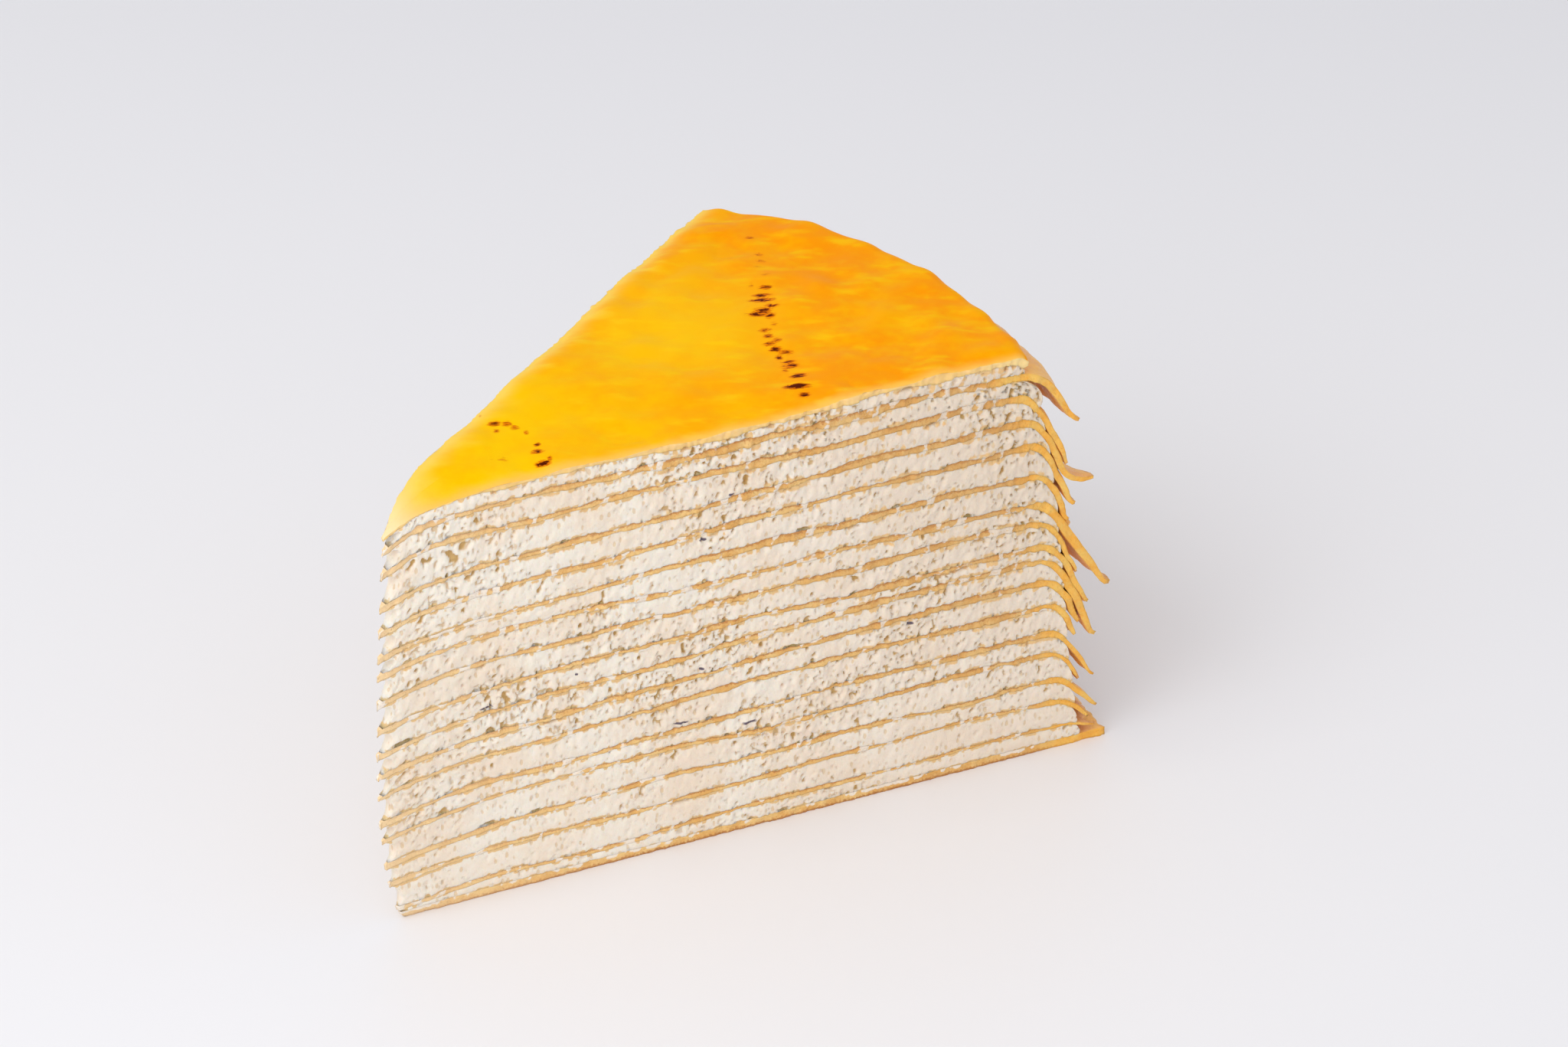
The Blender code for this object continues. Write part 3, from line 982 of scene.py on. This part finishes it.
def make_pore_group():
    """Small scattered pores: 1 inside them and 0 between."""
    inputs = {"Place": "Vector", "Size": "Float", "Share": "Float"}
    group, given, result = new_group("scattered pores", inputs, {"Mask": "Float"})
    warp = add(group, "ShaderNodeTexNoise", {"Vector": given["Place"], "Scale": 900.0}).outputs["Color"]
    warped = add(group, "ShaderNodeVectorMath", {0: warp, 1: (0.0004,) * 3}, operation="MULTIPLY")
    spot = add(group, "ShaderNodeVectorMath", {0: given["Place"], 1: warped.outputs[0]}, operation="ADD")
    scale = maths(group, "DIVIDE", 1.0, given["Size"])
    sockets = {"Vector": spot.outputs[0], "Scale": scale}
    cells = add(group, "ShaderNodeTexVoronoi", sockets, feature="F1")
    chance = add(group, "ShaderNodeSeparateColor", {"Color": cells.outputs["Color"]}).outputs[0]
    chosen = maths(group, "LESS_THAN", chance, given["Share"])
    round_hole = ramp(group, cells.outputs["Distance"], 0.36, 0.2)
    group.links.new(maths(group, "MULTIPLY", round_hole, chosen), result["Mask"])
    return group


def make_mottle_group():
    """Blends two colours in soft patches with finer flecks."""
    inputs = {"Place": "Vector", "First": "Color", "Second": "Color", "Patch": "Float", "Fleck": "Float"}
    group, given, result = new_group("mottling", inputs, {"Color": "Color", "Mask": "Float"})
    fields = []
    for size, detail in (("Patch", 2.0), ("Fleck", 4.0)):
        scale = maths(group, "DIVIDE", 1.0, given[size])
        sockets = {"Vector": given["Place"], "Scale": scale, "Detail": detail}
        fields.append(add(group, "ShaderNodeTexNoise", sockets).outputs["Fac"])
    both = maths(group, "MULTIPLY_ADD", fields[1], 0.45, fields[0])
    mask = ramp(group, both, 0.52, 0.92)
    group.links.new(mix(group, mask, given["First"], given["Second"]), result["Color"])
    group.links.new(mask, result["Mask"])
    return group


def new_material(name):
    material = bpy.data.materials.new(name)
    material.use_nodes = True
    tree = material.node_tree
    return material, tree, tree.nodes["Principled BSDF"]


def place_group(tree, group, **sockets):
    node = add(tree, "ShaderNodeGroup", node_tree=group)
    for name, value in sockets.items():
        give(tree, node.inputs[name], value)
    return node.outputs


def set_bump(tree, shader, height, strength, distance):
    sockets = {"Height": height, "Strength": strength, "Distance": distance}
    bump = add(tree, "ShaderNodeBump", sockets)
    tree.links.new(bump.outputs["Normal"], shader.inputs["Normal"])


def set_soft_light(shader, weight, scale, radius):
    shader.inputs["Subsurface Weight"].default_value = weight
    shader.inputs["Subsurface Scale"].default_value = scale
    shader.inputs["Subsurface Radius"].default_value = radius


CREAM_TONE = tone(251, 239, 224)
CREAM_SHADE = tone(246, 228, 207)
# painted shade: the cream darker and greyer towards the upper rim, where the cut gets less light
CREAM_RIM_SHADE = tone(234, 217, 196)
# painted shade: the warm dark ochre inside the cream's pits and voids
PIT_SHADE = tone(212, 172, 98)
STAIN_TONE = tone(236, 196, 140)
SPECK_TONE = tone(104, 92, 104)
CUT_PALE = tone(250, 208, 134)
CUT_TAN = tone(236, 178, 94)
CUT_BROWN = tone(200, 130, 62)
CUT_FAINT = tone(250, 216, 166)
CUT_RIM = tone(204, 150, 88)
# The cut strips' golden tones towards the side: partly baked colour, partly painted glow of light through the
# thin crepe
GOLD_AND_GLOW = tone(255, 204, 100)
GOLD_AND_GLOW_DEEP = tone(255, 182, 62)
SKIN_GOLD = tone(255, 194, 98)
SKIN_BROWN = tone(240, 172, 106)
TOASTED = tone(206, 130, 50)


def rimward_mask(tree, spot):
    """Grows towards the upper rim, where the crepe lines are browner and the cream is painted darker as
    painted shade.
    """
    places = add(tree, "ShaderNodeSeparateXYZ", {"Vector": spot}).outputs
    out = ramp(tree, places["X"], -25 * MM, 48 * MM)
    up = ramp(tree, places["Z"], -10 * MM, 55 * MM, 0.25, 1.0)
    return maths(tree, "MULTIPLY", out, up)


def make_cream_material(groups):
    material, tree, shader = new_material("whipped cream")
    spot = object_place(tree)
    body = place_group(
        tree, groups["mottle"], Place=spot, First=CREAM_TONE, Second=CREAM_SHADE, Patch=9 * MM, Fleck=0.9 * MM
    )
    body = mix(tree, rimward_mask(tree, spot), body["Color"], CREAM_RIM_SHADE)
    dragged = squeezed(tree, spot, (1.0, 1.0, 0.55))
    pores = place_group(tree, groups["pores"], Place=dragged, Size=0.8 * MM, Share=0.42)["Mask"]
    faint = maths(tree, "MULTIPLY", pores, 0.45)
    # The pits, voids and pores are coloured dark ochre: painted shade inside the hollows
    hollow = maths(tree, "MAXIMUM", ramp(tree, value_of(tree, "pit"), 0.25, 0.8), faint)
    pit_shaded = mix(tree, maths(tree, "MULTIPLY", hollow, 0.9), body, PIT_SHADE)
    flecks = noise(tree, spot, 0.4 * MM)
    stain = maths(tree, "MULTIPLY_ADD", maths(tree, "SUBTRACT", flecks, 0.5), 0.9, value_of(tree, "stain"))
    stained = mix(tree, ramp(tree, stain, 0.2, 0.6), pit_shaded, STAIN_TONE)
    colour = mix(tree, ramp(tree, value_of(tree, "speck"), 0.35, 0.8), stained, SPECK_TONE)
    tree.links.new(colour, shader.inputs["Base Color"])
    crumb = place_group(tree, groups["crumb"], Place=dragged, Size=0.42 * MM, Holes=0.5)["Height"]
    height = maths(tree, "MULTIPLY_ADD", pores, -1.2, crumb)
    set_bump(tree, shader, height, 0.45, 0.14 * MM)
    tree.links.new(ramp(tree, crumb, 0.2, 0.8, 0.62, 0.42), shader.inputs["Roughness"])
    shader.inputs["Specular IOR Level"].default_value = 0.3
    set_soft_light(shader, 0.5, 0.6 * MM, (1.0, 0.8, 0.58))
    return material


def make_crepe_material(groups):
    material, tree, shader = new_material("baked crepe")
    spot = object_place(tree)
    cut = place_group(
        tree, groups["mottle"], Place=spot, First=CUT_PALE, Second=CUT_TAN, Patch=2.4 * MM, Fleck=0.35 * MM
    )["Color"]
    flecks = noise(tree, spot, 0.4 * MM)
    rise = value_of(tree, "rise")
    browned = maths(tree, "MULTIPLY_ADD", maths(tree, "SUBTRACT", flecks, 0.5), 1.1, rise)
    cut = mix(tree, ramp(tree, browned, 0.58, 0.92, 0.0, 0.9), cut, CUT_BROWN)
    cut = mix(tree, maths(tree, "MULTIPLY", rimward_mask(tree, spot), 0.6), cut, CUT_RIM)
    cut = mix(tree, maths(tree, "MULTIPLY", value_of(tree, "pale"), 0.9), cut, CUT_FAINT)
    # Towards the side the cut turns golden: partly baked colour, partly painted glow
    gold_and_glow = place_group(
        tree, groups["mottle"], Place=spot, First=GOLD_AND_GLOW, Second=GOLD_AND_GLOW_DEEP, Patch=3 * MM, Fleck=0.5 * MM
    )["Color"]
    cut = mix(tree, maths(tree, "MULTIPLY", value_of(tree, "golden"), 0.9), cut, gold_and_glow)
    skin = place_group(
        tree, groups["mottle"], Place=spot, First=SKIN_GOLD, Second=SKIN_BROWN, Patch=5 * MM, Fleck=0.8 * MM
    )["Color"]
    colour = mix(tree, value_of(tree, "skin"), cut, skin)
    patches = ramp(tree, noise(tree, spot, 1.6 * MM), 0.45, 0.7)
    toast = maths(tree, "MULTIPLY", value_of(tree, "toast"), patches)
    colour = mix(tree, maths(tree, "MULTIPLY", toast, 0.45), colour, TOASTED)
    aside = maths(tree, "ABSOLUTE", maths(tree, "MULTIPLY_ADD", rise, 2.0, -1.0))
    cover = maths(tree, "MULTIPLY", value_of(tree, "smear"), maths(tree, "MULTIPLY_ADD", aside, 0.5, 0.75))
    cover = maths(tree, "MULTIPLY_ADD", maths(tree, "SUBTRACT", flecks, 0.5), 1.0, cover)
    cover = maths(tree, "MULTIPLY_ADD", value_of(tree, "pale"), 0.18, cover)
    smeared = mix(tree, rimward_mask(tree, spot), CREAM_TONE, CREAM_RIM_SHADE)
    colour = mix(tree, ramp(tree, cover, 0.5, 0.82, 0.0, 0.92), colour, smeared)
    colour = mix(tree, ramp(tree, value_of(tree, "speck"), 0.35, 0.8), colour, SPECK_TONE)
    tree.links.new(colour, shader.inputs["Base Color"])
    crumb = place_group(tree, groups["crumb"], Place=spot, Size=0.3 * MM, Holes=0.8)["Height"]
    set_bump(tree, shader, crumb, 0.6, 0.14 * MM)
    tree.links.new(ramp(tree, crumb, 0.2, 0.8, 0.55, 0.28), shader.inputs["Roughness"])
    shader.inputs["Specular IOR Level"].default_value = 0.4
    set_soft_light(shader, 0.12, 0.2 * MM, (1.0, 0.8, 0.6))
    return material


TIP_YELLOW = tone(255, 202, 0)
TIP_GOLD = tone(255, 190, 0)
RIM_YELLOW = tone(255, 172, 0)
RIM_ORANGE = tone(255, 152, 0)
# painted sheen: a pale yellow standing in for the soft reflection on the top
PAINTED_SHEEN = tone(255, 202, 16)
TOP_PALE_AND_HIGHLIGHT = tone(255, 212, 96)
TOP_PEACH = tone(255, 196, 92)
TOP_CUT = tone(252, 212, 150)
TOP_TIP = tone(254, 226, 178)
LIP_TONE = tone(255, 222, 156)
CHARRED = tone(84, 22, 0)
SCORCHED = tone(222, 100, 0)


# Where the painted sheen on the top is strongest, and how far it spreads
SHEEN_MIDDLE = (9 * MM, 7 * MM, 63 * MM)
SHEEN_REACH = 24 * MM


def make_top_material(groups):
    material, tree, shader = new_material("caramelised top")
    spot = object_place(tree)
    out = add(tree, "ShaderNodeSeparateXYZ", {"Vector": spot}).outputs["X"]
    rimward = ramp(tree, out, TIP_X + 8 * MM, 22 * MM)
    first = mix(tree, rimward, TIP_YELLOW, RIM_YELLOW)
    second = mix(tree, rimward, TIP_GOLD, RIM_ORANGE)
    body = place_group(
        tree, groups["mottle"], Place=spot, First=first, Second=second, Patch=12 * MM, Fleck=1.7 * MM
    )["Color"]
    threads = noise(tree, squeezed(tree, spot, (0.45, 1.0, 1.0), radians(-45)), 2.6 * MM, 5.0)
    # Pale threads along the fine wrinkles and a broad patch in the middle: painted sheen
    body = mix(tree, ramp(tree, threads, 0.5, 0.74, 0.0, 0.65), body, PAINTED_SHEEN)
    away = add(tree, "ShaderNodeVectorMath", {0: spot, 1: SHEEN_MIDDLE}, operation="DISTANCE")
    body = mix(tree, ramp(tree, away.outputs["Value"], SHEEN_REACH, 0.0, 0.0, 0.65), body, PAINTED_SHEEN)
    edge = maths(tree, "MULTIPLY_ADD", maths(tree, "SUBTRACT", threads, 0.5), 0.6, value_of(tree, "edge"))
    # On the far side the pale edge tone is partly painted highlight where the rolled edge catches the light
    nearby = add(tree, "ShaderNodeSeparateXYZ", {"Vector": spot}).outputs["Y"]
    rim_tone = mix(tree, ramp(tree, nearby, -1 * MM, 1 * MM), TOP_PEACH, TOP_PALE_AND_HIGHLIGHT)
    body = mix(tree, ramp(tree, edge, 0.1, 0.9, 0.0, 0.9), body, rim_tone)
    body = mix(tree, value_of(tree, "pale"), body, TOP_TIP)
    strokes = noise(tree, squeezed(tree, spot, (1.0, 0.32, 1.0), ROW_ANGLE), 0.55 * MM, 3.0, 0.6)
    aside = maths(tree, "ABSOLUTE", maths(tree, "SUBTRACT", strokes, 0.5))
    char = value_of(tree, "char")
    burnt = maths(tree, "MULTIPLY_ADD", aside, -3.4, char)
    halo = maths(tree, "MULTIPLY_ADD", aside, -1.8, char)
    body = mix(tree, ramp(tree, halo, 0.06, 0.42, 0.0, 0.85), body, SCORCHED)
    body = mix(tree, ramp(tree, burnt, 0.26, 0.6), body, CHARRED)
    cut = place_group(
        tree, groups["mottle"], Place=spot, First=TOP_CUT, Second=CUT_PALE, Patch=2 * MM, Fleck=0.4 * MM
    )["Color"]
    # Towards the side the top's cut strip takes the pale lip tone, partly as painted glow
    cut = mix(tree, value_of(tree, "golden"), cut, LIP_TONE)
    colour = mix(tree, value_of(tree, "skin"), cut, body)
    tree.links.new(colour, shader.inputs["Base Color"])
    crumb = place_group(tree, groups["crumb"], Place=spot, Size=0.9 * MM, Holes=0.1)["Height"]
    height = maths(tree, "MULTIPLY_ADD", threads, 1.4, crumb)
    set_bump(tree, shader, height, 0.14, 0.25 * MM)
    tree.links.new(ramp(tree, threads, 0.3, 0.7, 0.3, 0.46), shader.inputs["Roughness"])
    shader.inputs["Specular IOR Level"].default_value = 0.015
    set_soft_light(shader, 0.2, 0.5 * MM, (1.0, 0.6, 0.2))
    return material


# The slice

def make_slice():
    groups = {"crumb": make_crumb_group(), "mottle": make_mottle_group(), "pores": make_pore_group()}
    cream = make_cream_material(groups)
    crepe = make_crepe_material(groups)
    top = make_top_material(groups)
    envelope = np.zeros((ENVELOPE_ROWS, RIM_STEPS + 1))
    for layer in range(CREPES):
        piece = make_crepe(layer, envelope, top if layer == TOP else crepe)
        stand_for(piece, crepe_node(layer))
    for layer in range(CREPES - 1):
        stand_for(make_cream(layer, cream), f"cream_{layer + 1:02d}")


# The studio

CAMERA_TARGET = Vector((18.55, -1.61, 31.75)) * MM
CAMERA_DIRECTION = Vector((0.60952, 0.60798, -0.50877))
CAMERA_DISTANCE = 626.8 * MM
CAMERA_LENS = 105
SENSOR_WIDTH = 36
FLOOR_SIZE = 6.0


def make_camera():
    camera = bpy.data.objects.new("camera", bpy.data.cameras.new("camera"))
    bpy.context.scene.collection.objects.link(camera)
    camera.data.lens = CAMERA_LENS
    camera.data.sensor_width = SENSOR_WIDTH
    camera.location = CAMERA_TARGET - CAMERA_DIRECTION * CAMERA_DISTANCE
    camera.rotation_euler = CAMERA_DIRECTION.to_track_quat("-Z", "Y").to_euler()
    bpy.context.scene.camera = camera


def make_area_light(name, azimuth, elevation, distance, size, power, colour=(1, 1, 1)):
    """A square light facing the slice, from this way round and this high."""
    light = bpy.data.objects.new(name, bpy.data.lights.new(name, "AREA"))
    bpy.context.scene.collection.objects.link(light)
    light.data.size = size
    light.data.energy = power
    light.data.color = colour
    level = cos(elevation)
    towards = Vector((cos(azimuth) * level, sin(azimuth) * level, sin(elevation)))
    light.location = towards * distance
    light.rotation_euler = towards.to_track_quat("Z", "Y").to_euler()


def make_world():
    world = bpy.data.worlds.new("soft studio")
    bpy.context.scene.world = world
    world.use_nodes = True
    background = world.node_tree.nodes["Background"]
    background.inputs["Color"].default_value = (0.97, 0.975, 1.0, 1)
    background.inputs["Strength"].default_value = 0.765


def make_floor():
    mesh = bpy.data.meshes.new("floor")
    side = FLOOR_SIZE / 2
    corners = [(-side, -side, 0), (side, -side, 0), (side, side, 0), (-side, side, 0)]
    mesh.from_pydata(corners, [], [(0, 1, 2, 3)])
    material, tree, shader = new_material("pale table")
    spot = object_place(tree)
    shade = mix(tree, noise(tree, spot, 0.3), tone(238, 237, 239), tone(241, 240, 242))
    # The floor darkens towards the back: painted shade standing in for the lights' falloff
    back = add(tree, "ShaderNodeVectorMath", {0: spot, 1: (0.8, 0.6, 0.0)}, operation="DOT_PRODUCT")
    far = ramp(tree, back.outputs["Value"], 0.05, 0.75)
    shade = mix(tree, far, shade, tone(210, 210, 217))
    tree.links.new(shade, shader.inputs["Base Color"])
    shader.inputs["Roughness"].default_value = 0.5
    mesh.materials.append(material)
    floor = bpy.data.objects.new("floor", mesh)
    bpy.context.scene.collection.objects.link(floor)


make_slice()
make_camera()
make_area_light("key light", radians(172), radians(46), 1.5, 0.9, 5.2)
make_area_light("fill light", radians(206), radians(42), 0.42, 0.3, 0.33)
make_world()
make_floor()
bpy.context.scene.view_settings.view_transform = "Standard"
